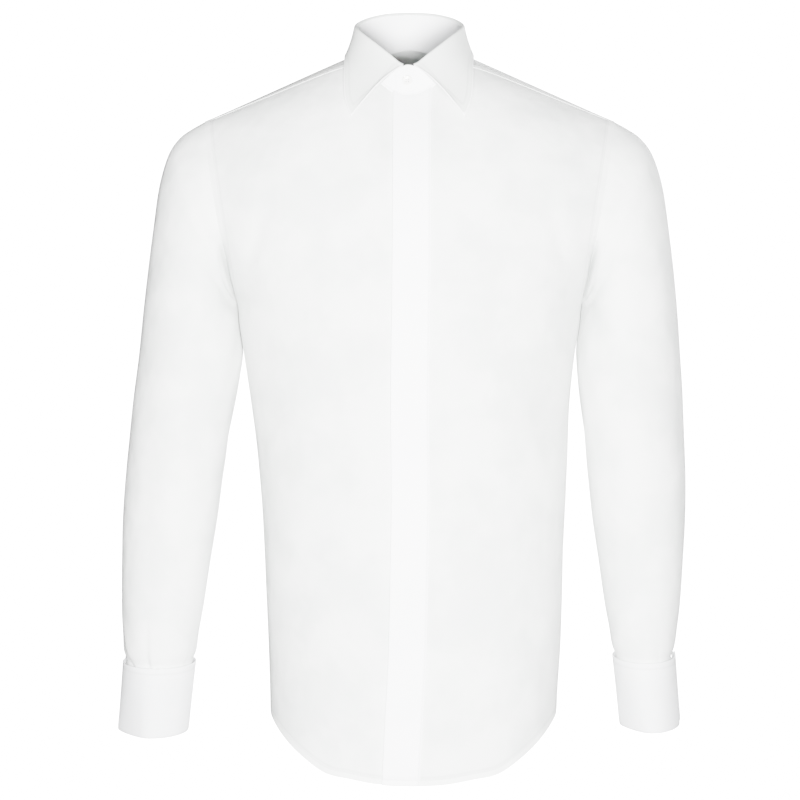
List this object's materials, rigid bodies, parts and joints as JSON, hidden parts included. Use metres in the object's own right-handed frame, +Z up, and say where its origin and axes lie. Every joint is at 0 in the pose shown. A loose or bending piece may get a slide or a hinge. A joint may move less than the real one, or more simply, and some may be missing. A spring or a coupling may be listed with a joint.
{
  "type": "long sleeve dress shirt",
  "caption": "Long sleeve dress shirt in its worn shape: hollow body and sleeves, turned-down collar, fly front and turned-back double cuffs.",
  "frame": {"origin": "middle of the neck opening, level with the top of the wearer's shoulders, which carry the shirt", "axes": "+Z up along the body, the front faces -Y, +X towards the wearer's left sleeve"},
  "size_m": [0.6096, 0.2376, 0.8312],
  "materials": {
    "poplin": "fine smooth cotton poplin, matt with a faint sheen",
    "crisp_poplin": "the same poplin, fused to an interlining and pressed flat",
    "button": "polished off-white shirt button"
  },
  "bodies": {
    "root": {"front_left": "poplin", "front_right": "poplin", "back": "poplin", "yoke": "poplin", "sleeve_left": "poplin", "sleeve_right": "poplin", "sleeve_placket_left": "poplin", "sleeve_placket_right": "poplin", "fly_placket": "crisp_poplin", "collar_stand": "crisp_poplin", "collar_leaf": "crisp_poplin", "cuff_left": "crisp_poplin", "cuff_right": "crisp_poplin", "collar_button": "button"}
  },
  "joints": []
}
